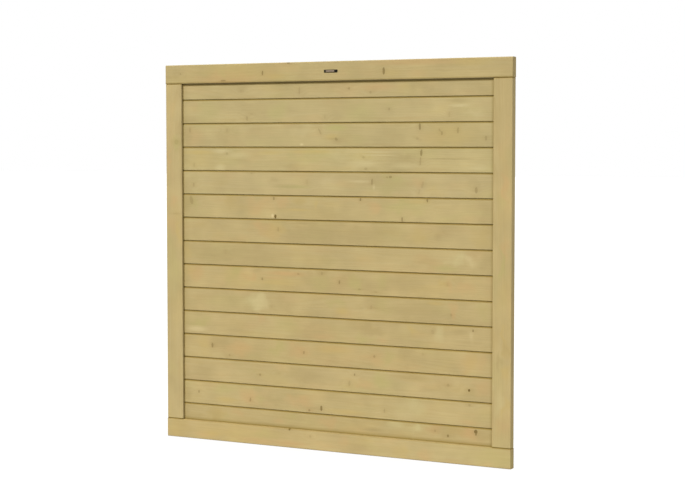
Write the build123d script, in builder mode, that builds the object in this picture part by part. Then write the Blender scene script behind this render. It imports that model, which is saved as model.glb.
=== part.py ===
from build123d import *
import os

# Garden screen panel: a grooved softwood frame filled with level tongued boards.
# X runs along the panel, Y from the front to the back, Z up. The origin is the
# middle of the left stile's outer side, the face that goes against a post.

# whole panel
panel_width = 1800.0
panel_height = 1800.0

# frame of two rails and two stiles
frame_thickness = 38.0
frame_width = 90.0
arris_radius = 4.0
groove_depth = 14.0
tenon_end_gap = 0.6
tenon_side_gap = 0.1

# boards
board_thickness = 16.0
board_cover = 112.5
vee = 4.5
tongue_thickness = 5.0
tongue_height = 7.0
tongue_side_gap = 0.2
tongue_end_gap = 0.6
housing_side_gap = 0.3
housing_end_gap = 0.6

# two countersunk screws through each rail into the end of each stile
screw_radius = 3.0
screw_head_radius = 5.5
screw_length = 140.0
screw_point = 7.0
screw_sink = 0.4
screw_gap = 0.1
socket_radius = 2.2
socket_depth = 2.4
screw_from_edge = 20.0
screw_spacing = 36.0

# name plate and its two pins
plate_width = 70.0
plate_height = 13.0
plate_thickness = 1.5
plate_corner = 1.5
plate_bevel = 0.3
plate_aside = 6.5
pin_spacing = 62.0
pin_radius = 0.7
pin_head_radius = 1.7
pin_head_height = 0.8
pin_length = 14.0
pin_gap = 0.1

# places that follow from the sizes
panel_top = panel_height / 2
opening_top = panel_top - frame_width
opening_height = 2 * opening_top
middle_x = panel_width / 2
housing_width = board_thickness + 2 * housing_side_gap
tenon_thickness = housing_width - 2 * tenon_side_gap
tenon_width = frame_width - groove_depth
tenon_length = groove_depth - tenon_end_gap
board_end = frame_width - groove_depth + housing_end_gap
board_length = panel_width - 2 * board_end
front = frame_thickness / 2
plate_z = panel_top - frame_width / 2
plate_x = middle_x + plate_aside
screw_places = [
    (screw_from_edge, 0),
    (screw_from_edge + screw_spacing, 0),
    (panel_width - screw_from_edge, 0),
    (panel_width - screw_from_edge - screw_spacing, 0),
]
top_side = Plane(origin=(0, 0, panel_top), x_dir=(1, 0, 0), z_dir=(0, 0, 1))
under_side = Plane(origin=(0, 0, -panel_top), x_dir=(1, 0, 0), z_dir=(0, 0, -1))

os.makedirs("parts", exist_ok=True)


def keep(piece, name):
    piece.part.label = name
    export_step(piece.part, f"parts/{name}.step")


# A rail runs the whole width. Its long arrises are rounded, its ends are sawn
# square, and the edge towards the opening is grooved for a board and the tenons.
def make_rail(side):
    with BuildPart() as rail:
        with BuildSketch(Plane.YZ) as section:
            with Locations((0, side * (panel_top - frame_width / 2))):
                Rectangle(frame_thickness, frame_width)
            fillet(section.vertices(), arris_radius)
            with Locations((0, side * (opening_top + groove_depth / 2))):
                Rectangle(housing_width, groove_depth, mode=Mode.SUBTRACT)
        extrude(amount=panel_width)
        with Locations(top_side if side > 0 else under_side):
            with Locations(*screw_places):
                CounterSinkHole(
                    screw_radius + screw_gap,
                    screw_head_radius + screw_sink + screw_gap,
                    depth=frame_width,
                    counter_sink_angle=90,
                )
    return rail


# A stile stands between the rails, rounded on every edge, so each joint with a rail
# shows as a notch. Its inner side is grooved from end to end for the board ends, and
# the middle of its thickness runs on at both ends as a stub tenon.
def make_stile(outer_x, inward):
    middle = outer_x + inward * frame_width / 2
    tenon_middle = outer_x + inward * tenon_width / 2
    groove_middle = outer_x + inward * (frame_width - groove_depth / 2)
    with BuildPart() as stile:
        with BuildSketch(Plane.XY.offset(-opening_top)):
            with Locations((middle, 0)):
                Rectangle(frame_width, frame_thickness)
        extrude(amount=opening_height)
        fillet(stile.edges(), arris_radius)
        with BuildSketch(Plane.XY.offset(-opening_top)):
            with Locations((groove_middle, 0)):
                Rectangle(groove_depth, housing_width)
        extrude(amount=opening_height, mode=Mode.SUBTRACT)
        with BuildSketch(Plane.XY.offset(-opening_top - tenon_length)):
            with Locations((tenon_middle, 0)):
                Rectangle(tenon_width, tenon_thickness)
        extrude(amount=opening_height + 2 * tenon_length)
        for rail_side in (top_side, under_side):
            with Locations(rail_side):
                with Locations(*screw_places):
                    Hole(screw_radius + screw_gap, depth=screw_length + screw_gap)
    return stile


# A board covers the height from low to high. The tongue on its upper edge goes
# into the groove of the board above, and both faces are chamfered at the joint.
def make_board(low, high, tongued, grooved):
    with BuildPart() as board:
        with BuildSketch(Plane.YZ.offset(board_end)) as section:
            with Locations((0, (low + high) / 2)):
                Rectangle(board_thickness, high - low)
            upper_corners = section.vertices().group_by(Axis.Y)[-1]
            lower_corners = section.vertices().group_by(Axis.Y)[0]
            if tongued:
                chamfer(upper_corners, vee)
                with Locations((0, high + tongue_height / 2)):
                    Rectangle(tongue_thickness, tongue_height)
            if grooved:
                chamfer(lower_corners, vee)
                slot_height = tongue_height + tongue_end_gap
                with Locations((0, low + slot_height / 2)):
                    Rectangle(
                        tongue_thickness + 2 * tongue_side_gap,
                        slot_height,
                        mode=Mode.SUBTRACT,
                    )
        extrude(amount=board_length)
    return board


# One screw stands on the origin, its head just below the surface.
with BuildPart() as screw:
    with BuildSketch(Plane.XZ):
        with BuildLine():
            Polyline(
                (0, -screw_sink),
                (screw_head_radius, -screw_sink),
                (screw_radius, screw_radius - screw_head_radius - screw_sink),
                (screw_radius, screw_point - screw_length),
                (0, -screw_length),
                close=True,
            )
        make_face()
    revolve(axis=Axis.Z)
    with BuildSketch(Plane.XY.offset(-screw_sink)):
        RegularPolygon(socket_radius, 6)
    extrude(amount=-socket_depth, mode=Mode.SUBTRACT)


def make_screws(plane, places):
    with BuildPart() as screws:
        with Locations(plane):
            with Locations(*places):
                add(screw.part)
    return screws


for name, side in (("top_rail", 1), ("bottom_rail", -1)):
    rail = make_rail(side)
    if side > 0:
        with rail:
            with Locations(Plane.XZ.offset(front)):
                with Locations((plate_x, plate_z)):
                    with GridLocations(pin_spacing, 0, 2, 1):
                        Hole(pin_radius + pin_gap, depth=pin_length)
    keep(rail, name)

keep(make_stile(0, 1), "left_stile")
keep(make_stile(panel_width, -1), "right_stile")

# The full boards stand in the middle of the opening. The first and the last are
# sawn along their length to equal heights and are housed in the rails.
full_boards = int(opening_height // board_cover) - 1
full_top = full_boards * board_cover / 2
housed_top = opening_top + groove_depth - housing_end_gap
housed_bottom = -opening_top - groove_depth
for index in range(full_boards + 2):
    low = full_top - index * board_cover
    high = low + board_cover
    first = index == 0
    last = index == full_boards + 1
    if first:
        high = housed_top
    if last:
        low = housed_bottom
    keep(make_board(low, high, not first, not last), f"board_{index + 1:02d}")

for height_name, plane in (("top", top_side), ("bottom", under_side)):
    keep(make_screws(plane, screw_places[:2]), f"{height_name}_left_screws")
    keep(make_screws(plane, screw_places[2:]), f"{height_name}_right_screws")

with BuildPart() as name_plate:
    with BuildSketch(Plane.XZ.offset(front)) as plate_outline:
        with Locations((plate_x, plate_z)):
            Rectangle(plate_width, plate_height)
            fillet(plate_outline.vertices(), plate_corner)
            with GridLocations(pin_spacing, 0, 2, 1):
                Circle(pin_radius + pin_gap, mode=Mode.SUBTRACT)
    extrude(amount=plate_thickness)
    chamfer(name_plate.faces().sort_by(Axis.Y)[0].outer_wire().edges(), plate_bevel)
keep(name_plate, "name_plate")

with BuildPart() as plate_pins:
    with Locations(Plane.XZ.offset(front + plate_thickness)):
        with Locations((plate_x, plate_z)):
            with GridLocations(pin_spacing, 0, 2, 1):
                Cylinder(
                    pin_radius, pin_length, align=(Align.CENTER, Align.CENTER, Align.MAX)
                )
                Cylinder(
                    pin_head_radius,
                    pin_head_height,
                    align=(Align.CENTER, Align.CENTER, Align.MIN),
                )
    fillet(plate_pins.faces().group_by(Axis.Y)[0].edges(), pin_head_height / 2)
keep(plate_pins, "plate_pins")
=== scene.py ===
import bpy
import math
import numpy as np
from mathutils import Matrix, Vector


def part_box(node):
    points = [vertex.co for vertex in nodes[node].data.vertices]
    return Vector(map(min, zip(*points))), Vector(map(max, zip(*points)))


# Garden screen panel of pressure treated pine. Metres, X along the panel from the
# left stile's outer side, Y to the back, Z up from the middle of the height.

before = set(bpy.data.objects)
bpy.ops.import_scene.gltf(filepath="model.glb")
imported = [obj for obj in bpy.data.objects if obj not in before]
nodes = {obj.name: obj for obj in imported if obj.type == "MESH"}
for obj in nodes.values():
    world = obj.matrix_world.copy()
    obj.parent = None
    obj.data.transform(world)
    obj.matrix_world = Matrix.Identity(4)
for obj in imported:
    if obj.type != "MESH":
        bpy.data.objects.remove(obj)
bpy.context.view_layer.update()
scene = bpy.context.scene
print("frame loaded:", len(nodes), "nodes")

cameraValues = {
    "place": (4.5600, -6.7379, 0.5241),
    "turn": 28.135,      # degrees to the left of straight ahead
    "down": 3.393,       # degrees below level
    "lens": 87.636,
    "sensor": 36.0,
    "sight": 200.0,
}
cameraData = bpy.data.cameras.new("panelCamera")
cameraData.lens = cameraValues["lens"]
cameraData.sensor_width = cameraValues["sensor"]
cameraData.clip_end = cameraValues["sight"]
cameraObject = bpy.data.objects.new("panelCamera", cameraData)
cameraObject.location = cameraValues["place"]
cameraObject.rotation_euler = (math.radians(90.0 - cameraValues["down"]),
                               0.0,
                               math.radians(cameraValues["turn"]))
scene.collection.objects.link(cameraObject)
scene.camera = cameraObject
scene.view_settings.view_transform = "Standard"


class Shader:
    # a material's node tree with short ways to add and wire nodes
    def __init__(self, name):
        self.material = bpy.data.materials.new(name)
        self.material.use_nodes = True
        self.tree = self.material.node_tree
        self.surface = self.tree.nodes["Principled BSDF"]
        self.coords = self.tree.nodes.new("ShaderNodeTexCoord").outputs["Object"]

    def put(self, socket, value):
        if isinstance(value, bpy.types.NodeSocket):
            self.tree.links.new(value, socket)
        elif isinstance(value, (tuple, list)) and socket.type == "RGBA":
            socket.default_value = (*value[:3], 1.0)
        else:
            socket.default_value = value

    def math(self, operation, a, b=0.0, c=0.0):
        node = self.tree.nodes.new("ShaderNodeMath")
        node.operation = operation
        for socket, value in zip(node.inputs, (a, b, c)):
            self.put(socket, value)
        return node.outputs[0]

    def apart(self, a, b):
        return self.math("ABSOLUTE", self.math("SUBTRACT", a, b))

    def vector(self, operation, a, b=(0.0, 0.0, 0.0)):
        node = self.tree.nodes.new("ShaderNodeVectorMath")
        node.operation = operation
        self.put(node.inputs[0], a)
        self.put(node.inputs[1], b)
        return node.outputs["Vector"]

    def length(self, vector):
        node = self.tree.nodes.new("ShaderNodeVectorMath")
        node.operation = "LENGTH"
        self.put(node.inputs[0], vector)
        return node.outputs["Value"]

    # a vector made longer or a colour made brighter
    def scaled(self, value, amount):
        node = self.tree.nodes.new("ShaderNodeVectorMath")
        node.operation = "SCALE"
        self.put(node.inputs[0], value)
        self.put(node.inputs["Scale"], amount)
        return node.outputs[0]

    def mapping(self, vector, location=(0, 0, 0), rotation=(0, 0, 0), scale=(1, 1, 1),
                kind="POINT"):
        node = self.tree.nodes.new("ShaderNodeMapping")
        node.vector_type = kind
        self.put(node.inputs["Vector"], vector)
        node.inputs["Location"].default_value = location
        node.inputs["Rotation"].default_value = rotation
        node.inputs["Scale"].default_value = scale
        return node.outputs[0]

    # coordinates in which an oval at the given place has radius 1
    def oval(self, vector, middle, halfSize, turn=(0, 0, 0)):
        return self.mapping(vector, middle, turn, halfSize, "TEXTURE")

    def noise(self, vector, scale=1.0, detail=2.0, roughness=0.5, colour=False):
        node = self.tree.nodes.new("ShaderNodeTexNoise")
        self.put(node.inputs["Vector"], vector)
        node.inputs["Scale"].default_value = scale
        node.inputs["Detail"].default_value = detail
        node.inputs["Roughness"].default_value = roughness
        return node.outputs["Color"] if colour else node.outputs["Fac"]

    # the object's coordinates, pushed about by coloured noise
    def shaken(self, noisePlace, scale, amount):
        coloured = self.noise(noisePlace, scale=scale, colour=True)
        push = self.vector("SUBTRACT", coloured, (0.5, 0.5, 0.5))
        return self.vector("ADD", self.coords, self.scaled(push, amount))

    def spread(self, value, low, high, outLow=0.0, outHigh=1.0, smooth=False):
        node = self.tree.nodes.new("ShaderNodeMapRange")
        node.interpolation_type = "SMOOTHSTEP" if smooth else "LINEAR"
        node.clamp = True
        for name, item in (("Value", value), ("From Min", low), ("From Max", high),
                           ("To Min", outLow), ("To Max", outHigh)):
            self.put(node.inputs[name], item)
        return node.outputs[0]

    def ramp(self, value, stops):
        node = self.tree.nodes.new("ShaderNodeValToRGB")
        self.put(node.inputs[0], value)
        elements = node.color_ramp.elements
        while len(elements) < len(stops):
            elements.new(0.5)
        for element, (place, level) in zip(elements, stops):
            element.position = place
            element.color = (level, level, level, 1.0)
        return node.outputs[0]

    def mix(self, amount, first, second):
        node = self.tree.nodes.new("ShaderNodeMix")
        node.data_type = "RGBA"
        node.clamp_factor = True
        self.put(node.inputs[0], amount)
        self.put(node.inputs[6], first)
        self.put(node.inputs[7], second)
        return node.outputs[2]

    def split(self, vector):
        node = self.tree.nodes.new("ShaderNodeSeparateXYZ")
        self.put(node.inputs[0], vector)
        return node.outputs

    def bump(self, height, strength, distance):
        node = self.tree.nodes.new("ShaderNodeBump")
        node.inputs["Strength"].default_value = strength
        node.inputs["Distance"].default_value = distance
        self.put(node.inputs["Height"], height)
        return node.outputs[0]


panelSize = {"width": 1.8, "height": 1.8, "frame": 0.09, "cover": 0.1125}
openingTop = panelSize["height"] / 2 - panelSize["frame"]
innerLeft = panelSize["frame"]
innerRight = panelSize["width"] - panelSize["frame"]

woodValues = {
    "early": (0.3125, 0.2455, 0.1108),    # spring wood between the rings
    "late": (0.2575, 0.183, 0.066),       # the denser line of each ring
    "green": (0.287, 0.247, 0.093),       # tints that the treatment leaves
    "pink": (0.341, 0.228, 0.098),
    "pale": (0.360, 0.290, 0.140),
    "mint": (0.355, 0.300, 0.142),
    "yellow": (0.330, 0.246, 0.090),
    "dull": (0.268, 0.206, 0.088),
    "bare": (0.500, 0.400, 0.210),        # small chips of fresh wood
    "knot": (0.050, 0.029, 0.003),        # rim, yearly lines and crack
    "knotBody": (0.100, 0.059, 0.006),
    "halo": (0.225, 0.156, 0.060),        # wood that darkens towards a knot
    "shadeColour": (0.142, 0.089, 0.005),       # painted shade in the joints and beside the edges
    "lean": (1.2, 0.9),                   # most that a log leans, in degrees
    "pithBehind": (0.03, 0.10),           # metres from the panel's middle to the pith
    "pithAside": 0.05,
    "ringGap": 0.0052,
    "ringShow": 0.18,
    "ringWave": 0.030,                    # how far the rings wander, in metres
    "ringRipple": 0.0022,
    "ringBend": 0.0055,                   # and how far they swerve round a knot
    "ringBendEdge": (0.4, 3.2),
    "ringProfile": [(0.0, 0.15), (0.35, 0.0), (0.86, 1.0), (0.93, 0.9), (1.0, 0.15)],
    "sawnRings": 0.5,                     # how much more the rings show on a sawn end
    "sawnDark": 0.18,
    "sawnEdge": (0.0012, 0.0004),         # metres before the end
    "streak": 0.16,
    "streakLight": (0.54, 0.72),          # noise levels between which it fades in
    "streakDark": (0.46, 0.28),
    "cloud": 0.25,
    "cloudFull": 0.74,
    "shade": 0.10,
    "tintShow": 0.64,
    "tintEdge": (1.6, 0.1),               # a tint fades out past its own oval, which is 1
    "fibre": 0.06,
    "roughness": (0.74, 0.88),
    "specular": 0.15,
    "relief": 0.30,
    "reliefHeight": 0.0003,
    "reliefParts": (0.35, 0.65),          # fibres, rings
    "rimShake": 0.004,                    # how far knots and tints are pushed out of true
    "patchShake": 0.11,
    "patchFrom": 0.02,                    # half height from which a tint is a loose patch
    "through": 1000.0,                    # half size through the wood, so an oval is a tube
}

# a knot's rim is at 1 and its middle at 0; a pair tells where something starts and is full
knotValues = {
    "wide": 1.3,
    "edge": (1.22, 0.74),
    "rimPlace": 0.93,
    "rimEdge": (0.17, 0.03),
    "rimShow": (0.92, 1.25),
    "yearGap": 0.13,
    "yearEdge": (0.03, 0.12),
    "yearShow": 0.45,
    "crackFrom": 0.4,                     # knots darker than this have a crack
    "crackSide": (0.16, 0.04),
    "crackEnd": (0.85, 0.60),
    "eyeWide": (3.0, 0.008),              # times the knot's half width, and metres more
    "eyeHigh": (1.15, 0.003),
    "haloEdge": (1.5, 0.4),
    "haloShow": 0.16,
}

# cells of noise in a metre, along the fibres and across them
noiseScales = {
    "wave": (1.1, 9.0, 9.0),
    "ripple": (7.0, 55.0, 55.0),
    "streak": (1.6, 40.0, 75.0),
    "cloud": (4.5, 8.0, 11.0),
    "shade": (6.5, 8.0, 9.0),
    "fibre": (9.0, 700.0, 700.0),
    "rim": 120.0,
    "patch": 14.0,
}

# each kind of random cloud, its shift in the noise and the level at which it starts
cloudKinds = (("green", 0.0, 0.50), ("pink", 7.3, 0.53),
              ("yellow", 13.1, 0.52), ("dull", 21.7, 0.52))

# the dark line of painted shade lies a little below the middle of each V joint
jointValues = {"rise": -0.0016, "unshaded": 0.0042, "full": 0.0020, "paintedShade": 0.74,
               "stileEdge": 0.002}


# Each knot is an oval tube through the piece. The masks tell how dark a point is inside
# one, its distance from the nearest middle (1 at the rim), its distance in the longer
# eye that the rings bend around, and where the darkest knots have their crack.
def knotMasks(s, near, knots):
    k = knotValues
    through = woodValues["through"]
    dark, place, eyePlace, crack = 0.0, 9.0, 9.0, 0.0
    for x, z, halfWide, halfHigh, tilt, darkness in knots:
        middle = (x, 0, z)
        turn = (0, math.radians(tilt), 0)
        oval = s.oval(near, middle, (halfWide * k["wide"], through, halfHigh), turn)
        away = s.length(oval)
        place = s.math("MINIMUM", place, away)
        within = s.spread(away, *k["edge"], 0.0, darkness, smooth=True)
        dark = s.math("MAXIMUM", dark, within)
        eyeWide = halfWide * k["eyeWide"][0] + k["eyeWide"][1]
        eyeHigh = halfHigh * k["eyeHigh"][0] + k["eyeHigh"][1]
        eye = s.oval(near, middle, (eyeWide, through, eyeHigh), turn)
        eyePlace = s.math("MINIMUM", eyePlace, s.length(eye))
        if darkness > k["crackFrom"]:
            side = s.spread(s.math("ABSOLUTE", s.split(oval)["X"]), *k["crackSide"])
            line = s.math("MULTIPLY", side, s.spread(away, *k["crackEnd"]))
            crack = s.math("MAXIMUM", crack, line)
    return dark, place, eyePlace, crack


# A ring shows wherever the distance from the log's pith, bent a little by noise, passes
# a whole number of ring gaps. Each piece comes from a log of its own.
def ringLines(s, nodeName, rng, along, turned, ownPlace, eyePlace):
    w = woodValues
    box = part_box(nodeName)
    centre = (box[0] + box[1]) / 2
    across = centre.z if along == "X" else -centre.x
    leans = [math.radians(rng.uniform(-most, most)) for most in w["lean"]]
    behind = rng.uniform(*w["pithBehind"])
    aside = rng.uniform(-w["pithAside"], w["pithAside"])
    log = s.mapping(turned, (0, -behind, aside - across), (0, *leans))
    radius = s.length(s.vector("MULTIPLY", log, (0.0, 1.0, 1.0)))
    wave = s.noise(s.mapping(ownPlace, scale=noiseScales["wave"]))
    ripple = s.noise(s.mapping(ownPlace, scale=noiseScales["ripple"]))
    radius = s.math("MULTIPLY_ADD", wave, w["ringWave"], radius)
    radius = s.math("MULTIPLY_ADD", ripple, w["ringRipple"], radius)
    if eyePlace is not None:
        swerve = s.spread(eyePlace, *w["ringBendEdge"], w["ringBend"], 0.0, smooth=True)
        radius = s.math("ADD", radius, swerve)
    ring = s.math("FRACT", s.math("DIVIDE", radius, w["ringGap"]))
    return s.ramp(ring, w["ringProfile"])


# 1 on a rail's sawn ends and 0 before them
def sawnEnds(s, x):
    halfWidth = panelSize["width"] / 2
    start, full = woodValues["sawnEdge"]
    return s.spread(s.apart(x, halfWidth), halfWidth - start, halfWidth - full)


def streaksAndClouds(s, ownPlace, colour):
    w = woodValues
    streakPlace = s.mapping(ownPlace, scale=noiseScales["streak"])
    streak = s.noise(streakPlace, detail=3.0, roughness=0.6)
    light = s.spread(streak, *w["streakLight"], 0.0, w["streak"], smooth=True)
    colour = s.mix(light, colour, w["pale"])
    dark = s.spread(streak, *w["streakDark"], 0.0, w["streak"], smooth=True)
    colour = s.mix(dark, colour, w["late"])
    for kind, shift, low in cloudKinds:
        cloud = s.noise(s.mapping(ownPlace, (shift, shift, shift), scale=noiseScales["cloud"]))
        show = s.spread(cloud, low, w["cloudFull"], 0.0, w["cloud"], smooth=True)
        colour = s.mix(show, colour, w[kind])
    shadePlace = s.mapping(ownPlace, (3.7, 3.7, 3.7), scale=noiseScales["shade"])
    shade = s.noise(shadePlace, roughness=0.55)
    return s.scaled(colour, s.spread(shade, 0.2, 0.8, 1.0 - w["shade"], 1.0 + w["shade"]))


# a halo, then the knot itself with a dark rim, yearly lines and a crack
def paintKnots(s, colour, dark, place, eyePlace, crack):
    w, k = woodValues, knotValues
    halo = s.spread(eyePlace, *k["haloEdge"], 0.0, k["haloShow"], smooth=True)
    colour = s.mix(halo, colour, w["halo"])
    rim = s.spread(s.apart(place, k["rimPlace"]), *k["rimEdge"], smooth=True)
    yearly = s.math("PINGPONG", place, k["yearGap"])
    yearly = s.spread(yearly, *k["yearEdge"], 0.0, k["yearShow"])
    lines = s.math("MAXIMUM", s.math("MAXIMUM", rim, yearly), crack)
    show = s.math("MULTIPLY", dark, s.spread(rim, 0.0, 1.0, *k["rimShow"]))
    return s.mix(show, colour, s.mix(lines, w["knotBody"], w["knot"]))


# painted shade on the lower half of each V joint, and beside the edges named for the piece
def paintShade(s, colour, xyz, jointShade, paintedShade):
    shadeColour, j = woodValues["shadeColour"], jointValues
    if jointShade:
        # painted shade in the V joints
        halfCover = panelSize["cover"] / 2
        place = s.math("SUBTRACT", xyz["Z"], j["rise"])
        away = s.math("PINGPONG", s.math("SUBTRACT", place, halfCover), halfCover)
        show = s.spread(away, j["unshaded"], j["full"], 0.0, j["paintedShade"], smooth=True)
        colour = s.mix(show, colour, shadeColour)
    # painted shade beside each listed edge
    for axis, place, unshaded, full, strength, *overStiles in paintedShade:
        show = s.spread(s.apart(xyz[axis], place), unshaded, full, 0.0, strength, smooth=True)
        if overStiles:
            edge = panelSize["width"] / 2 - panelSize["frame"]
            fromMiddle = s.apart(xyz["X"], panelSize["width"] / 2)
            beyond = s.spread(fromMiddle, edge - j["stileEdge"], edge + j["stileEdge"])
            show = s.math("MULTIPLY", show, beyond)
        colour = s.mix(show, colour, shadeColour)
    return colour


# Solid pine, grown in the piece's own coordinates, so that all its sides belong together.
def woodMaterial(nodeName, seed, along="X", tone=(1.0, 1.0, 1.0), knots=(), tints=(),
                 jointShade=False, paintedShade=(), ends=False):
    s = Shader(nodeName + "Wood")
    w = woodValues
    rng = np.random.default_rng(seed)
    xyz = s.split(s.coords)
    # first axis along the fibres, and a place of its own in the noise
    upright = (0, math.radians(90), 0)
    turned = s.coords if along == "X" else s.mapping(s.coords, rotation=upright)
    ownPlace = s.mapping(turned, location=tuple(rng.uniform(-40, 40, 3)))

    # ovals are measured from slightly shaken coordinates, so that no rim is perfect
    near = s.shaken(ownPlace, noiseScales["rim"], w["rimShake"])
    nearPatch = s.shaken(ownPlace, noiseScales["patch"], w["patchShake"])
    dark, place, eyePlace, crack = knotMasks(s, near, knots)
    late = ringLines(s, nodeName, rng, along, turned, ownPlace, eyePlace if knots else None)

    # the rings show best on a sawn end, which is darker too because it drinks more
    sawn = sawnEnds(s, xyz["X"]) if ends else 0.0
    ringShow = s.math("MULTIPLY_ADD", sawn, w["sawnRings"], w["ringShow"])
    colour = s.mix(s.math("MULTIPLY", late, ringShow), w["early"], w["late"])
    colour = s.mix(s.math("MULTIPLY", sawn, w["sawnDark"]), colour, w["late"])
    colour = streaksAndClouds(s, ownPlace, colour)

    # tints that have a place of their own
    for x, z, halfWide, halfHigh, kind, strength in tints:
        start = nearPatch if halfHigh > w["patchFrom"] else near
        away = s.length(s.oval(start, (x, 0, z), (halfWide, w["through"], halfHigh)))
        show = s.spread(away, *w["tintEdge"], 0.0, strength * w["tintShow"], smooth=True)
        colour = s.mix(show, colour, w[kind])
    if knots:
        colour = paintKnots(s, colour, dark, place, eyePlace, crack)
    # painted shade in the joints and beside the edges
    colour = paintShade(s, colour, xyz, jointShade, paintedShade)

    fibre = s.noise(s.mapping(ownPlace, scale=noiseScales["fibre"]))
    grain = s.spread(fibre, 0.25, 0.75, 1.0 - w["fibre"], 1.0 + w["fibre"])
    colour = s.vector("MULTIPLY", s.scaled(colour, grain), tone)
    s.put(s.surface.inputs["Base Color"], colour)
    s.put(s.surface.inputs["Roughness"], s.spread(fibre, 0.3, 0.7, *w["roughness"]))
    s.surface.inputs["Specular IOR Level"].default_value = w["specular"]
    fibrePart, ringPart = w["reliefParts"]
    rings = s.math("MULTIPLY", late, ringPart)
    relief = s.math("ADD", s.math("MULTIPLY", fibre, fibrePart), rings)
    s.put(s.surface.inputs["Normal"], s.bump(relief, w["relief"], w["reliefHeight"]))
    return s.material


def dress(nodeName, material):
    piece = nodes[nodeName]
    piece.data.materials.clear()
    piece.data.materials.append(material)


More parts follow.
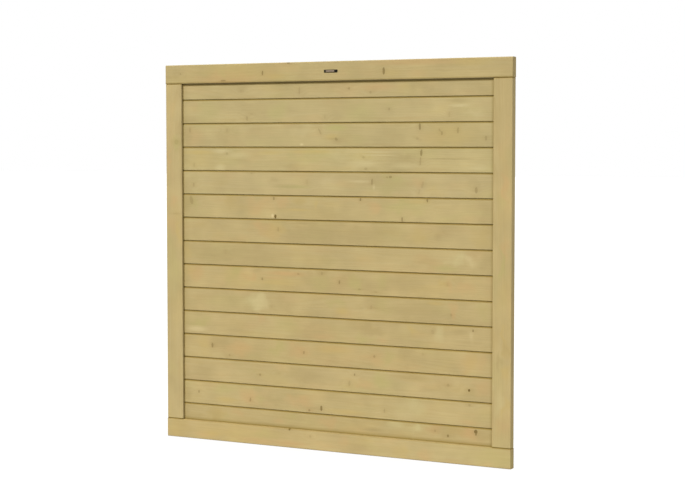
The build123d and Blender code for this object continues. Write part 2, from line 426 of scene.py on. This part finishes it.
# Each board from the top: its brightness in red, green and blue, its knots as (x, z, half
# width, half height, tilt in degrees, darkness) and its tints as (x, z, half width, half
# height, kind, strength).
boardLooks = {
    1: {
        "tone": (0.945, 0.958, 0.985),
        "knots": [
            (0.419, 0.770, 0.004, 0.006, 0, 0.06), (0.735, 0.769, 0.003, 0.018, 3, 0.17),
            (0.995, 0.775, 0.004, 0.005, 0, 0.28), (1.105, 0.756, 0.004, 0.006, 0, 0.20),
        ],
        "tints": [
            (1.14, 0.780, 0.10, 0.018, "pink", 1.0), (1.28, 0.765, 0.06, 0.03, "yellow", 0.7),
            (1.37, 0.78, 0.04, 0.022, "dull", 0.8), (1.66, 0.77, 0.05, 0.03, "dull", 0.6),
        ],
    },
    2: {
        "tone": (0.975, 0.998, 1.032),
        "knots": [
            (0.451, 0.642, 0.005, 0.010, -6, 0.20), (0.476, 0.663, 0.007, 0.003, 0, 0.10),
            (0.870, 0.646, 0.003, 0.008, 0, 0.11), (1.199, 0.679, 0.003, 0.006, 6, 0.25),
            (1.496, 0.654, 0.003, 0.012, 0, 0.11),
        ],
        "tints": [
            (0.24, 0.68, 0.06, 0.05, "green", 0.6), (0.14, 0.640, 0.05, 0.018, "dull", 1.1),
            (0.50, 0.67, 0.10, 0.05, "dull", 0.6), (0.62, 0.68, 0.05, 0.04, "green", 0.75),
            (0.97, 0.69, 0.09, 0.04, "dull", 0.7), (1.05, 0.66, 0.08, 0.05, "green", 0.7),
            (1.545, 0.692, 0.05, 0.007, "pale", 1.3), (1.54, 0.714, 0.05, 0.010, "dull", 1.2),
            (1.62, 0.650, 0.06, 0.022, "pale", 0.8),
        ],
    },
    3: {
        "tone": (0.955, 0.978, 0.999),
        "knots": [
            (0.131, 0.590, 0.003, 0.013, 0, 0.26), (0.340, 0.587, 0.003, 0.010, 0, 0.13),
            (0.843, 0.580, 0.003, 0.016, -24, 0.22), (0.928, 0.545, 0.006, 0.006, 30, 0.33),
            (0.905, 0.546, 0.016, 0.003, 0, 0.09), (1.352, 0.600, 0.004, 0.015, 0, 0.52),
            (1.340, 0.547, 0.005, 0.005, 20, 0.16), (1.460, 0.571, 0.004, 0.009, 0, 0.30),
            (1.450, 0.583, 0.003, 0.008, -35, 0.18), (1.538, 0.583, 0.004, 0.013, 3, 0.27),
            (1.672, 0.548, 0.004, 0.010, 0, 0.25),
        ],
        "tints": [
            (0.15, 0.565, 0.06, 0.05, "pink", 0.7), (0.12, 0.55, 0.03, 0.04, "dull", 0.8),
            (0.34, 0.56, 0.06, 0.05, "dull", 0.8), (0.755, 0.58, 0.05, 0.03, "pale", 0.6),
            (0.747, 0.520, 0.009, 0.006, "bare", 0.7), (0.93, 0.597, 0.06, 0.014, "green", 1.3),
            (0.90, 0.555, 0.035, 0.015, "yellow", 1.0), (0.935, 0.535, 0.03, 0.014, "dull", 1.2),
            (1.22, 0.56, 0.08, 0.05, "dull", 0.8), (1.50, 0.56, 0.12, 0.05, "dull", 0.8),
            (1.50, 0.565, 0.13, 0.05, "yellow", 0.7),
        ],
    },
    4: {
        "tone": (0.963, 0.992, 1.008),
        "knots": [
            (0.339, 0.477, 0.005, 0.006, 0, 0.20), (0.154, 0.422, 0.003, 0.009, 0, 0.15),
            (1.360, 0.484, 0.004, 0.015, 3, 0.52), (1.355, 0.446, 0.003, 0.018, 4, 0.24),
            (1.069, 0.462, 0.005, 0.005, 30, 0.17), (1.082, 0.410, 0.006, 0.006, 0, 0.20),
        ],
        "tints": [
            (0.18, 0.483, 0.09, 0.012, "yellow", 1.2), (0.18, 0.45, 0.09, 0.04, "yellow", 0.6),
            (0.31, 0.488, 0.05, 0.010, "pale", 1.4), (0.302, 0.410, 0.026, 0.018, "pale", 1.3),
            (0.40, 0.470, 0.07, 0.014, "pale", 0.9),
            (0.58, 0.483, 0.06, 0.010, "yellow", 1.0), (0.80, 0.487, 0.13, 0.010, "yellow", 1.4),
            (0.80, 0.46, 0.14, 0.03, "green", 0.6), (0.62, 0.42, 0.14, 0.022, "dull", 0.6),
            (0.94, 0.472, 0.05, 0.03, "pale", 0.6), (1.13, 0.486, 0.10, 0.004, "pale", 1.0),
            (1.14, 0.472, 0.09, 0.004, "pale", 1.0), (1.07, 0.432, 0.07, 0.018, "pale", 1.1),
            (1.29, 0.472, 0.05, 0.025, "dull", 1.3), (1.28, 0.425, 0.07, 0.012, "pale", 0.8),
            (1.50, 0.457, 0.12, 0.004, "dull", 1.5), (1.64, 0.418, 0.05, 0.012, "pale", 1.0),
        ],
    },
    5: {
        "tone": (0.969, 0.985, 1.031),
        "knots": [
            (0.151, 0.327, 0.003, 0.009, 0, 0.20), (0.475, 0.386, 0.004, 0.006, 0, 0.14),
            (0.775, 0.346, 0.004, 0.012, 0, 0.08), (1.113, 0.351, 0.004, 0.014, 4, 0.32),
            (1.206, 0.374, 0.006, 0.005, 0, 0.40), (1.189, 0.373, 0.004, 0.003, 0, 0.28),
            (1.366, 0.340, 0.004, 0.016, 14, 0.15), (1.350, 0.310, 0.003, 0.012, 14, 0.11),
            (1.627, 0.319, 0.005, 0.014, 0, 0.31),
        ],
        "tints": [
            (0.13, 0.335, 0.04, 0.04, "dull", 0.8), (0.70, 0.324, 0.08, 0.008, "green", 1.5),
            (0.67, 0.325, 0.09, 0.010, "dull", 1.0), (0.60, 0.345, 0.03, 0.022, "dull", 0.9),
            (0.88, 0.355, 0.05, 0.022, "pale", 0.6), (1.05, 0.352, 0.06, 0.006, "pale", 1.0),
            (1.122, 0.327, 0.006, 0.014, "pale", 1.6), (1.22, 0.36, 0.05, 0.03, "green", 1.1),
            (1.20, 0.32, 0.08, 0.025, "green", 0.8), (1.20, 0.33, 0.07, 0.03, "dull", 0.6),
            (1.34, 0.36, 0.03, 0.022, "pink", 0.6), (1.43, 0.31, 0.05, 0.022, "yellow", 0.6),
            (1.63, 0.355, 0.03, 0.03, "dull", 0.8),
        ],
    },
    6: {
        "tone": (0.970, 0.975, 0.983),
        "knots": [
            (0.597, 0.268, 0.0035, 0.007, 0, 0.42), (0.605, 0.184, 0.0045, 0.009, 0, 0.95),
            (1.054, 0.271, 0.003, 0.008, 10, 0.60), (1.390, 0.273, 0.003, 0.010, 0, 0.58),
            (1.265, 0.183, 0.0025, 0.011, 0, 0.58), (0.137, 0.254, 0.007, 0.020, -14, 0.22),
        ],
        "tints": [
            (0.13, 0.25, 0.04, 0.04, "green", 1.0), (0.12, 0.24, 0.03, 0.05, "dull", 1.1),
            (0.36, 0.255, 0.04, 0.022, "yellow", 0.8), (0.36, 0.25, 0.04, 0.022, "dull", 0.7),
            (0.52, 0.235, 0.07, 0.04, "pink", 0.8), (0.64, 0.255, 0.04, 0.022, "pink", 0.8),
            (0.735, 0.257, 0.035, 0.015, "yellow", 1.3), (0.735, 0.255, 0.03, 0.015, "dull", 0.9),
            (0.73, 0.217, 0.06, 0.005, "yellow", 1.0), (0.590, 0.187, 0.007, 0.009, "bare", 1.2),
            (0.82, 0.24, 0.015, 0.03, "yellow", 0.9), (0.90, 0.197, 0.09, 0.022, "dull", 0.7),
            (1.117, 0.222, 0.03, 0.03, "pink", 0.9), (1.27, 0.245, 0.10, 0.03, "green", 0.9),
            (1.35, 0.265, 0.06, 0.012, "yellow", 0.7), (1.66, 0.23, 0.03, 0.05, "dull", 0.8),
        ],
    },
    7: {
        "tone": (0.947, 0.943, 0.946),
        "knots": [(0.620, 0.124, 0.003, 0.010, 0, 0.20), (1.441, 0.108, 0.004, 0.012, 0, 0.02)],
        "tints": [
            (0.15, 0.095, 0.05, 0.04, "dull", 0.6), (0.52, 0.145, 0.05, 0.022, "pink", 0.8),
            (0.57, 0.115, 0.05, 0.03, "pink", 0.6), (0.60, 0.12, 0.05, 0.03, "yellow", 0.8),
            (0.76, 0.156, 0.06, 0.006, "dull", 1.2), (0.80, 0.11, 0.12, 0.05, "dull", 0.9),
            (1.05, 0.11, 0.14, 0.05, "dull", 0.9), (1.35, 0.11, 0.05, 0.03, "yellow", 0.6),
            (1.66, 0.11, 0.05, 0.05, "yellow", 0.6),
        ],
    },
    8: {
        "tone": (0.967, 0.963, 0.966),
        "knots": [(0.330, 0.010, 0.003, 0.009, 0, 0.05)],
        "tints": [
            (0.22, 0.00, 0.14, 0.05, "dull", 0.8), (0.48, 0.00, 0.20, 0.05, "dull", 0.9),
            (0.12, 0.01, 0.03, 0.04, "yellow", 0.6), (1.40, 0.00, 0.07, 0.03, "pink", 0.6),
            (1.38, -0.005, 0.08, 0.04, "dull", 0.6), (1.48, -0.03, 0.06, 0.015, "green", 0.9),
            (1.54, 0.010, 0.045, 0.025, "mint", 1.1), (1.605, 0.000, 0.030, 0.028, "pale", 1.2),
            (1.68, 0.00, 0.03, 0.05, "dull", 0.8),
        ],
    },
    9: {
        "tone": (0.967, 0.951, 0.934),
        "knots": [
            (0.533, -0.112, 0.003, 0.006, 0, 0.44), (0.728, -0.082, 0.005, 0.004, 0, 0.26),
            (0.853, -0.075, 0.004, 0.007, 0, 0.19), (0.945, -0.112, 0.003, 0.009, 4, 0.46),
            (1.050, -0.140, 0.005, 0.004, 0, 0.22), (1.132, -0.150, 0.006, 0.003, 0, 0.16),
            (1.490, -0.101, 0.003, 0.008, 0, 0.08),
        ],
        "tints": [
            (0.16, -0.10, 0.045, 0.035, "pink", 0.85), (0.12, -0.09, 0.03, 0.03, "yellow", 0.7),
            (0.38, -0.085, 0.05, 0.03, "green", 1.1), (0.37, -0.13, 0.04, 0.022, "green", 0.6),
            (0.47, -0.10, 0.025, 0.022, "pink", 1.0), (0.50, -0.075, 0.03, 0.012, "dull", 0.8),
            (0.66, -0.083, 0.10, 0.012, "pink", 1.2), (0.60, -0.105, 0.06, 0.008, "pink", 0.8),
            (0.60, -0.125, 0.09, 0.014, "yellow", 0.8), (0.85, -0.12, 0.06, 0.03, "green", 0.6),
            (0.86, -0.08, 0.05, 0.022, "dull", 0.8), (1.00, -0.085, 0.05, 0.022, "dull", 0.8),
            (1.03, -0.11, 0.03, 0.03, "green", 0.9), (1.16, -0.10, 0.04, 0.03, "green", 0.8),
            (1.25, -0.11, 0.12, 0.04, "dull", 0.6), (1.47, -0.09, 0.03, 0.03, "yellow", 0.8),
            (1.50, -0.10, 0.02, 0.04, "pink", 0.7), (1.58, -0.12, 0.05, 0.03, "pink", 0.7),
        ],
    },
    10: {
        "tone": (0.964, 0.956, 0.952),
        "knots": [
            (0.582, -0.238, 0.004, 0.006, 0, 0.02), (1.110, -0.219, 0.004, 0.010, 0, 0.14),
            (1.125, -0.222, 0.014, 0.003, 8, 0.06), (1.509, -0.236, 0.004, 0.006, 0, 0.21),
        ],
        "tints": [
            (0.50, -0.218, 0.055, 0.030, "mint", 1.4), (0.52, -0.225, 0.04, 0.028, "pale", 0.6),
            (0.66, -0.24, 0.04, 0.03, "dull", 0.7), (0.93, -0.20, 0.04, 0.025, "green", 0.7),
            (0.96, -0.245, 0.035, 0.018, "yellow", 1.1), (1.12, -0.20, 0.05, 0.03, "dull", 0.9),
            (1.17, -0.22, 0.05, 0.04, "green", 0.6), (1.32, -0.23, 0.14, 0.05, "dull", 0.9),
            (1.43, -0.187, 0.04, 0.01, "yellow", 0.9), (1.525, -0.225, 0.02, 0.04, "pink", 0.9),
            (1.67, -0.21, 0.03, 0.03, "green", 0.6),
        ],
    },
    11: {
        "tone": (0.967, 0.954, 0.953),
        "knots": [
            (1.418, -0.317, 0.005, 0.009, -30, 0.11), (1.615, -0.301, 0.003, 0.005, 0, 0.52),
        ],
        "tints": [
            (0.18, -0.33, 0.06, 0.022, "green", 0.8), (0.165, -0.367, 0.06, 0.014, "pale", 1.7),
            (0.38, -0.362, 0.05, 0.012, "dull", 0.8), (0.53, -0.30, 0.02, 0.03, "pink", 0.6),
            (0.66, -0.33, 0.07, 0.05, "green", 0.7), (0.80, -0.35, 0.08, 0.04, "dull", 0.9),
            (0.85, -0.37, 0.06, 0.015, "pink", 0.6), (1.07, -0.36, 0.04, 0.022, "green", 0.9),
            (1.10, -0.315, 0.08, 0.025, "dull", 1.1), (1.17, -0.365, 0.04, 0.022, "pink", 0.6),
            (1.325, -0.33, 0.02, 0.022, "yellow", 0.9), (1.445, -0.322, 0.025, 0.028, "mint", 0.9),
            (1.55, -0.31, 0.04, 0.015, "dull", 1.0), (1.61, -0.325, 0.018, 0.03, "pale", 1.0),
        ],
    },
    12: {
        "tone": (0.966, 0.953, 0.934),
        "knots": [
            (0.253, -0.442, 0.004, 0.011, 0, 0.45), (0.757, -0.448, 0.004, 0.007, 8, 0.30),
            (0.350, -0.484, 0.004, 0.006, 0, 0.20), (1.125, -0.444, 0.004, 0.006, 0, 0.30),
            (1.371, -0.419, 0.004, 0.006, 0, 0.09),
        ],
        "tints": [
            (0.20, -0.44, 0.04, 0.04, "yellow", 0.7), (0.30, -0.42, 0.05, 0.022, "dull", 1.0),
            (0.41, -0.44, 0.06, 0.035, "pink", 0.9), (0.50, -0.43, 0.04, 0.03, "dull", 0.6),
            (0.62, -0.43, 0.035, 0.03, "green", 0.9), (0.73, -0.44, 0.05, 0.035, "pink", 1.0),
            (0.92, -0.42, 0.09, 0.018, "pink", 0.8), (0.90, -0.425, 0.09, 0.018, "yellow", 0.8),
            (1.12, -0.445, 0.05, 0.03, "pink", 0.6), (1.19, -0.44, 0.03, 0.03, "green", 0.7),
            (1.30, -0.43, 0.05, 0.03, "dull", 0.9), (1.59, -0.44, 0.04, 0.04, "pink", 0.7),
            (1.60, -0.44, 0.03, 0.04, "yellow", 0.6), (1.66, -0.44, 0.03, 0.05, "pink", 0.6),
        ],
    },
    13: {
        "tone": (0.980, 0.970, 0.980),
        "knots": [
            (0.519, -0.567, 0.004, 0.005, 0, 0.36), (0.622, -0.554, 0.003, 0.004, 0, 0.04),
            (0.997, -0.576, 0.004, 0.014, 6, 0.16), (1.024, -0.534, 0.003, 0.005, 0, 0.46),
            (1.495, -0.551, 0.005, 0.006, 0, 0.22), (1.597, -0.567, 0.004, 0.006, 0, 0.90),
        ],
        "tints": [
            (0.22, -0.57, 0.05, 0.03, "dull", 0.8), (0.72, -0.565, 0.12, 0.03, "dull", 0.6),
            (1.08, -0.575, 0.05, 0.025, "pink", 0.7), (1.165, -0.55, 0.035, 0.035, "green", 0.9),
            (1.33, -0.53, 0.08, 0.016, "yellow", 1.0), (1.32, -0.53, 0.08, 0.014, "dull", 1.2),
            (1.48, -0.56, 0.05, 0.03, "dull", 0.6), (1.66, -0.55, 0.04, 0.04, "pink", 0.7),
        ],
    },
    14: {
        "tone": (0.981, 0.976, 0.971),
        "knots": [
            (0.175, -0.671, 0.003, 0.007, 0, 0.38), (0.465, -0.690, 0.003, 0.010, 4, 0.37),
            (0.850, -0.703, 0.004, 0.012, 0, 0.70), (0.786, -0.717, 0.004, 0.005, 0, 0.44),
            (1.178, -0.690, 0.003, 0.009, 0, 0.21), (1.599, -0.632, 0.005, 0.005, 0, 0.19),
        ],
        "tints": [
            (0.12, -0.69, 0.03, 0.03, "dull", 0.9), (0.31, -0.66, 0.05, 0.03, "green", 0.6),
            (0.33, -0.70, 0.06, 0.014, "yellow", 1.1), (0.46, -0.685, 0.05, 0.035, "pink", 0.9),
            (0.52, -0.69, 0.02, 0.03, "green", 0.6), (0.60, -0.68, 0.06, 0.022, "dull", 0.8),
            (0.74, -0.685, 0.07, 0.03, "pink", 0.9), (0.80, -0.707, 0.05, 0.006, "dull", 1.2),
            (0.98, -0.71, 0.10, 0.012, "yellow", 0.9), (1.33, -0.66, 0.07, 0.035, "mint", 0.75),
            (1.28, -0.70, 0.05, 0.022, "pale", 0.6), (1.60, -0.71, 0.05, 0.012, "pink", 0.7),
        ],
    },
    15: {
        "tone": (0.956, 0.943, 0.918),
        "knots": [
            (1.432, -0.761, 0.004, 0.005, 0, 0.21), (1.630, -0.748, 0.006, 0.008, 0, 0.80),
            (1.632, -0.758, 0.003, 0.008, 10, 0.60), (1.495, -0.778, 0.004, 0.006, 0, 0.54),
        ],
        "tints": [
            (0.28, -0.765, 0.04, 0.022, "yellow", 1.1), (0.27, -0.765, 0.04, 0.022, "dull", 0.8),
            (0.40, -0.76, 0.04, 0.022, "pink", 0.6), (0.62, -0.78, 0.03, 0.012, "pink", 0.6),
            (0.70, -0.75, 0.03, 0.014, "green", 0.6), (0.88, -0.765, 0.04, 0.022, "pink", 0.7),
            (1.05, -0.765, 0.045, 0.03, "dull", 0.8), (1.12, -0.782, 0.05, 0.010, "dull", 1.4),
            (1.24, -0.760, 0.06, 0.025, "mint", 0.9), (1.345, -0.757, 0.034, 0.028, "mint", 1.4),
            (1.43, -0.76, 0.045, 0.025, "pink", 1.25), (1.53, -0.753, 0.04, 0.022, "yellow", 1.1),
            (1.50, -0.760, 0.10, 0.03, "dull", 0.9), (1.60, -0.765, 0.06, 0.03, "pink", 1.3),
            (1.67, -0.765, 0.04, 0.03, "dull", 0.9),
        ],
    },
}

# Painted shade beside an edge is (axis, place, how far away the wood is unshaded, how far it is
# darkest, strength). All boards have it at the stiles, two of them at a rail as well.
stileShade = [("X", innerLeft, 0.0105, 0.001, 0.62), ("X", innerLeft, 0.045, 0.010, 0.10),
             ("X", innerRight, 0.018, 0.004, 0.30)]
railShade = {
    # painted shadow under the top rail on the first board, painted shade above the bottom rail on
    # the last
    1: [("Z", openingTop - 0.0075, 0.0055, 0.0020, 0.55)],
    15: [("Z", -openingTop, 0.022, 0.0, 0.47), ("Z", -openingTop, 0.0060, 0.003, 0.38)],
}
boardSeed = 100
for index, look in boardLooks.items():
    nodeName = f"board_{index:02d}"
    paintedShade = stileShade + railShade.get(index, [])
    dress(nodeName, woodMaterial(nodeName, boardSeed + index, jointShade=True, paintedShade=paintedShade, **look))
print("boards done")

# The frame members in the same way. "overStiles" keeps a rail's painted shade to its joints.
frameLooks = {
    "top_rail": {
        "seed": 201,
        "tone": (0.938, 0.940, 0.936),
        "ends": True,
        "paintedShade": [
            # painted shade on the rail's lower edge and at its joints with the stiles
            ("Z", openingTop + 0.0055, 0.0035, 0.001, 0.30),
            ("Z", openingTop, 0.006, 0.001, 0.60, "overStiles"),
        ],
        "knots": [
            (0.085, 0.857, 0.003, 0.004, 0, 0.26), (0.543, 0.853, 0.003, 0.011, 4, 0.54),
            (0.684, 0.897, 0.006, 0.004, 0, 0.42), (1.177, 0.850, 0.0045, 0.016, 0, 0.60),
            (0.327, 0.821, 0.011, 0.0035, 0, 0.46),
        ],
        "tints": [
            (0.42, 0.860, 0.20, 0.05, "yellow", 0.8), (0.36, 0.828, 0.16, 0.022, "pink", 1.0),
            (0.61, 0.835, 0.06, 0.015, "yellow", 0.9), (1.35, 0.887, 0.25, 0.014, "pink", 0.9),
            (1.22, 0.840, 0.05, 0.02, "yellow", 0.6), (1.35, 0.835, 0.05, 0.02, "pink", 0.6),
            (1.60, 0.885, 0.08, 0.02, "yellow", 0.7),
        ],
    },
    "bottom_rail": {
        "seed": 202,
        "tone": (1.011, 0.992, 0.985),
        "ends": True,
        "paintedShade": [
            # painted shade along the rail's top edge and at its joints with the stiles
            ("Z", -openingTop, 0.0065, 0.0, 0.50),
            ("Z", -openingTop, 0.006, 0.001, 0.60, "overStiles"),
        ],
        "knots": [(0.685, -0.812, 0.004, 0.006, 0, 0.95), (0.797, -0.837, 0.004, 0.006, 0, 0.17)],
        "tints": [
            (0.05, -0.855, 0.06, 0.05, "yellow", 0.8), (0.22, -0.875, 0.06, 0.014, "pink", 0.9),
            (0.26, -0.868, 0.05, 0.015, "yellow", 1.0), (0.40, -0.850, 0.25, 0.05, "yellow", 0.7),
            (0.55, -0.845, 0.04, 0.022, "green", 0.6), (0.50, -0.880, 0.10, 0.015, "pink", 0.7),
            (0.69, -0.880, 0.09, 0.015, "pink", 1.0), (0.97, -0.845, 0.03, 0.04, "pink", 0.6),
            (1.45, -0.850, 0.28, 0.05, "mint", 0.5), (1.27, -0.862, 0.04, 0.022, "yellow", 0.7),
            (1.39, -0.862, 0.04, 0.03, "pink", 0.8), (1.73, -0.855, 0.12, 0.06, "green", 0.8),
        ],
    },
    "left_stile": {
        "seed": 203,
        "along": "Z",
        "tone": (0.982, 0.977, 0.990),
        "paintedShade": [
            # painted shade at the stile's ends and along its inner edge
            ("Z", openingTop, 0.0055, 0.001, 0.80), ("Z", -openingTop, 0.0055, 0.001, 0.70),
            ("X", innerLeft, 0.0014, 0.0003, 0.22),
        ],
        "knots": [(0.060, 0.532, 0.008, 0.012, 0, 0.13), (0.058, 0.187, 0.016, 0.003, 0, 0.10)],
        "tints": [
            (0.055, 0.53, 0.03, 0.03, "green", 1.0), (0.015, 0.44, 0.012, 0.05, "pink", 0.9),
            (0.035, 0.25, 0.03, 0.03, "pink", 0.8), (0.030, 0.13, 0.03, 0.05, "pink", 0.6),
            (0.070, 0.10, 0.015, 0.06, "yellow", 1.0), (0.040, -0.08, 0.05, 0.13, "green", 0.6),
        ],
    },
    "right_stile": {
        "seed": 204,
        "along": "Z",
        "tone": (0.973, 0.959, 0.957),
        "paintedShade": [
            # painted shade at the stile's ends and along its inner edge
            ("Z", openingTop, 0.0055, 0.001, 0.80), ("Z", -openingTop, 0.0055, 0.001, 0.70),
            ("X", innerRight, 0.004, 0.0, 0.36),
        ],
        "tints": [
            (1.765, 0.34, 0.015, 0.06, "pink", 0.9), (1.745, 0.27, 0.02, 0.04, "green", 0.6),
            (1.765, 0.07, 0.015, 0.05, "pink", 0.7), (1.750, 0.00, 0.012, 0.06, "green", 1.0),
            (1.775, -0.34, 0.012, 0.05, "yellow", 1.2), (1.775, -0.35, 0.012, 0.03, "dull", 1.0),
            (1.745, -0.42, 0.012, 0.05, "dull", 0.9), (1.775, -0.48, 0.012, 0.05, "yellow", 0.9),
            (1.740, -0.60, 0.02, 0.06, "mint", 0.7), (1.775, -0.63, 0.012, 0.06, "yellow", 0.7),
            (1.760, -0.73, 0.03, 0.04, "pink", 0.6),
        ],
    },
}
for nodeName, look in frameLooks.items():
    dress(nodeName, woodMaterial(nodeName, **look))
print("frame done")

metalValues = {
    "zincScrew": {"colour": (0.45, 0.44, 0.40), "roughness": 0.35},
    "blackenedPin": {"colour": (0.022, 0.019, 0.014), "roughness": 0.45},
    "patchScale": 900.0,
    "patchDark": 0.6,
}


def metalMaterial(name, colour, roughness):
    s = Shader(name)
    patches = s.noise(s.coords, scale=metalValues["patchScale"], detail=3.0)
    darker = tuple(metalValues["patchDark"] * c for c in colour)
    s.put(s.surface.inputs["Base Color"], s.mix(s.spread(patches, 0.35, 0.7), colour, darker))
    s.surface.inputs["Metallic"].default_value = 1.0
    rough = s.spread(patches, 0.3, 0.7, roughness, roughness + 0.2)
    s.put(s.surface.inputs["Roughness"], rough)
    s.put(s.surface.inputs["Normal"], s.bump(patches, 0.2, 0.0001))
    return s.material


zinc = metalMaterial("zincScrew", **metalValues["zincScrew"])
for nodeName in ("top_left_screws", "top_right_screws",
                 "bottom_left_screws", "bottom_right_screws"):
    dress(nodeName, zinc)
dress("plate_pins", metalMaterial("blackenedPin", **metalValues["blackenedPin"]))

plateValues = {
    "black": (0.0040, 0.0030, 0.0015),
    "worn": (0.022, 0.018, 0.012),
    "bare": (0.180, 0.138, 0.095),
    "shine": 0.08,
    "roughness": (0.50, 0.66),
    "speckScale": 1400.0,
    "wearScale": (120.0, 300.0, 500.0),
    "fieldMiddle": (0.9030, 0.8555),
    "fieldHalf": (0.0220, 0.0036),
    "fieldEdge": 0.0004,
}


# Black enamel with faint wear and a bare pale field in the middle.
def plateMaterial():
    s = Shader("plateFace")
    v = plateValues
    xyz = s.split(s.coords)
    specks = s.noise(s.coords, scale=v["speckScale"], detail=3.0, roughness=0.65)
    wear = s.noise(s.mapping(s.coords, scale=v["wearScale"]), detail=3.0)
    worn = s.spread(specks, 0.50, 0.80, 0.0, 0.8, smooth=True)
    colour = s.mix(worn, v["black"], v["worn"])
    inside = 1.0
    for axis, middle, halfSize in zip("XZ", v["fieldMiddle"], v["fieldHalf"]):
        outer, inner = halfSize + v["fieldEdge"], halfSize - v["fieldEdge"]
        within = s.spread(s.apart(xyz[axis], middle), outer, inner, smooth=True)
        inside = s.math("MULTIPLY", inside, within)
    bare = s.scaled(v["bare"], s.spread(wear, 0.3, 0.7, 0.65, 1.35))
    s.put(s.surface.inputs["Base Color"], s.mix(inside, colour, bare))
    s.put(s.surface.inputs["Roughness"], s.spread(wear, 0.3, 0.7, *v["roughness"]))
    s.surface.inputs["Specular IOR Level"].default_value = v["shine"]
    s.put(s.surface.inputs["Normal"], s.bump(specks, 0.15, 0.0001))
    return s.material


dress("name_plate", plateMaterial())
print("metal and plate done")

floorValues = {
    "level": -0.9,
    "half": 60.0,
    "colour": (0.09, 0.09, 0.09),
    "roughness": 0.9,
    "glow": 0.805,
}
half, level = floorValues["half"], floorValues["level"]
floorCorners = [(-half, -half, level), (half, -half, level),
                (half, half, level), (-half, half, level)]
floorMesh = bpy.data.meshes.new("studioFloor")
floorMesh.from_pydata(floorCorners, [], [(0, 1, 2, 3)])
floorObject = bpy.data.objects.new("studioFloor", floorMesh)
scene.collection.objects.link(floorObject)
floorShader = Shader("paleFloor")
floorSurface = floorShader.surface
floorSurface.inputs["Base Color"].default_value = (*floorValues["colour"], 1.0)
floorSurface.inputs["Roughness"].default_value = floorValues["roughness"]
floorSurface.inputs["Emission Color"].default_value = (1.0, 1.0, 1.0, 1.0)
floorSurface.inputs["Emission Strength"].default_value = floorValues["glow"]
floorMesh.materials.append(floorShader.material)
# the floor is there to be seen and to take the shadow; it throws no light on the panel
floorObject.visible_diffuse = False
floorObject.visible_glossy = False

# suns, each with the direction it shines from and its width in degrees
sunValues = {
    "key": {"from": (-0.46, -1.0, 1.0), "power": 4.54, "angle": 16.0, "colour": (1.0, 1.0, 1.0)},
    "fill": {"from": (0.7, -1.0, 0.9), "power": 1.1, "angle": 40.0, "colour": (1.0, 1.0, 1.0)},
    "side": {"from": (1.0, -0.12, 0.40), "power": 1.35, "angle": 40.0,
             "colour": (0.97, 1.0, 1.10)},
    "back": {"from": (-0.2, 1.0, 0.6), "power": 2.6, "angle": 40.0, "colour": (1.0, 1.0, 1.0)},
}
for name, values in sunValues.items():
    data = bpy.data.lights.new(name + "Light", "SUN")
    data.energy = values["power"]
    data.angle = math.radians(values["angle"])
    data.color = values["colour"]
    lamp = bpy.data.objects.new(name + "Light", data)
    lamp.rotation_euler = Vector(values["from"]).to_track_quat("Z", "Y").to_euler()
    scene.collection.objects.link(lamp)

# the camera sees plain white behind the panel; the panel gets a dim cool sky and a warm
# return from the ground, blended over a band at the horizon
worldValues = {
    "sky": (0.490, 0.500, 0.530),
    "ground": (0.520, 0.490, 0.416),
    "seen": (1.0, 1.0, 1.0),
    "horizon": 0.3,
}
world = bpy.data.worlds.new("studio")
scene.world = world
world.use_nodes = True
worldTree = world.node_tree
background = worldTree.nodes["Background"]
direction = worldTree.nodes.new("ShaderNodeTexCoord")
height = worldTree.nodes.new("ShaderNodeSeparateXYZ")
worldTree.links.new(direction.outputs["Generated"], height.inputs[0])
share = worldTree.nodes.new("ShaderNodeMapRange")
share.inputs["From Min"].default_value = -worldValues["horizon"]
share.inputs["From Max"].default_value = worldValues["horizon"]
worldTree.links.new(height.outputs["Z"], share.inputs["Value"])
skyColour = worldTree.nodes.new("ShaderNodeMix")
skyColour.data_type = "RGBA"
worldTree.links.new(share.outputs[0], skyColour.inputs[0])
skyColour.inputs[6].default_value = (*worldValues["ground"], 1.0)
skyColour.inputs[7].default_value = (*worldValues["sky"], 1.0)
rayKind = worldTree.nodes.new("ShaderNodeLightPath")
seen = worldTree.nodes.new("ShaderNodeMix")
seen.data_type = "RGBA"
worldTree.links.new(rayKind.outputs["Is Camera Ray"], seen.inputs[0])
worldTree.links.new(skyColour.outputs[2], seen.inputs[6])
seen.inputs[7].default_value = (*worldValues["seen"], 1.0)
worldTree.links.new(seen.outputs[2], background.inputs["Color"])
background.inputs["Strength"].default_value = 1.0
print("floor and light done")
